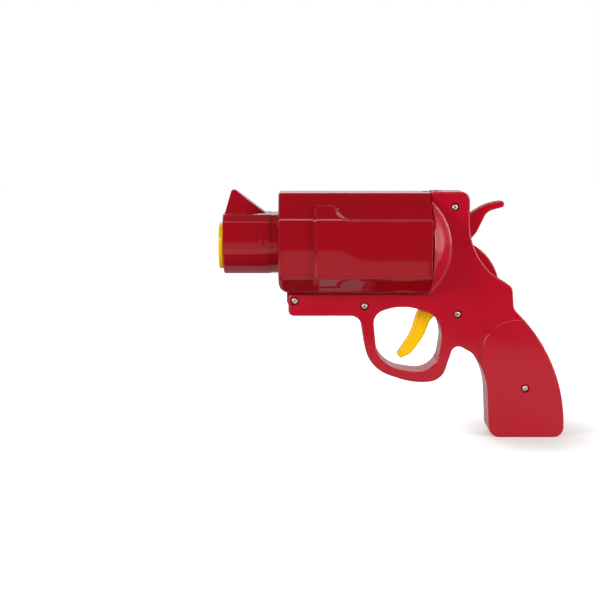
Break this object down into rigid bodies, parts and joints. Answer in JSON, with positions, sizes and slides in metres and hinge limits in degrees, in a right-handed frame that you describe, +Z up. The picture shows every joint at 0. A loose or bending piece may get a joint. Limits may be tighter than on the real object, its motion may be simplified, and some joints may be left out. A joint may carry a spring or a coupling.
{
  "type": "sauce dispenser gun",
  "caption": "Revolver-shaped sauce dispenser: tip-open barrel and chamber, trigger-driven plunger, hammer latch and bellows cartridge.",
  "frame": {"origin": "bottom centre of the bounding box: under the gun, on the plane that the grip base stands on", "axes": "+X from the muzzle towards the grip, +Y across the gun towards its right side, +Z up"},
  "size_m": [0.2462, 0.066, 0.1769],
  "materials": {
    "red_plastic": "gloss moulded",
    "yellow_plastic": "gloss moulded",
    "cream_plastic": "soft translucent moulded",
    "screw_steel": "plated",
    "spring_steel": "drawn wire"
  },
  "bodies": {
    "frame": {"frame_left": "red_plastic", "frame_right": "red_plastic", "screw_hinge": "screw_steel", "screw_guard": "screw_steel", "screw_middle": "screw_steel", "screw_hammer": "screw_steel", "screw_grip": "screw_steel", "lever_axle": "screw_steel", "trigger_spring": "spring_steel", "hammer_spring": "spring_steel"},
    "barrel_assembly": {"cylinder_housing": "red_plastic", "barrel": "red_plastic", "muzzle_ring": "yellow_plastic", "cartridge_nozzle": "yellow_plastic", "cartridge_bottle": "cream_plastic", "cartridge_bellows": "cream_plastic"},
    "trigger_lever": {"trigger": "yellow_plastic", "push_lever": "red_plastic"},
    "plunger": {"plunger": "red_plastic"},
    "hammer": {"hammer": "red_plastic"}
  },
  "joints": [
    {"name": "barrel_open", "type": "hinge", "parent": "frame", "child": "barrel_assembly", "pos_m": [-0.0699, 0, 0.0985], "axis": [0, -1, 0], "range_deg": [0, 60]},
    {"name": "trigger_pull", "type": "hinge", "parent": "frame", "child": "trigger_lever", "pos_m": [0.0392, 0, 0.1056], "axis": [0, -1, 0], "range_deg": [0, 15], "stiffness_Nm_per_rad": 0.6, "springref_deg": -17.19, "deforming": ["trigger_spring"]},
    {"name": "plunger_slide", "type": "slide", "parent": "frame", "child": "plunger", "axis": [-1, 0, 0], "range_m": [0, 0.0079], "deforming": ["cartridge_bellows"]},
    {"name": "hammer_pull", "type": "hinge", "parent": "frame", "child": "hammer", "pos_m": [0.0423, 0, 0.165], "axis": [0, 1, 0], "range_deg": [0, 8], "stiffness_Nm_per_rad": 0.3, "springref_deg": -11.46, "deforming": ["hammer_spring"]}
  ],
  "couplings": [
    {"joint": "plunger_slide", "follows": "trigger_pull", "m_per_rad": 0.03006}
  ]
}
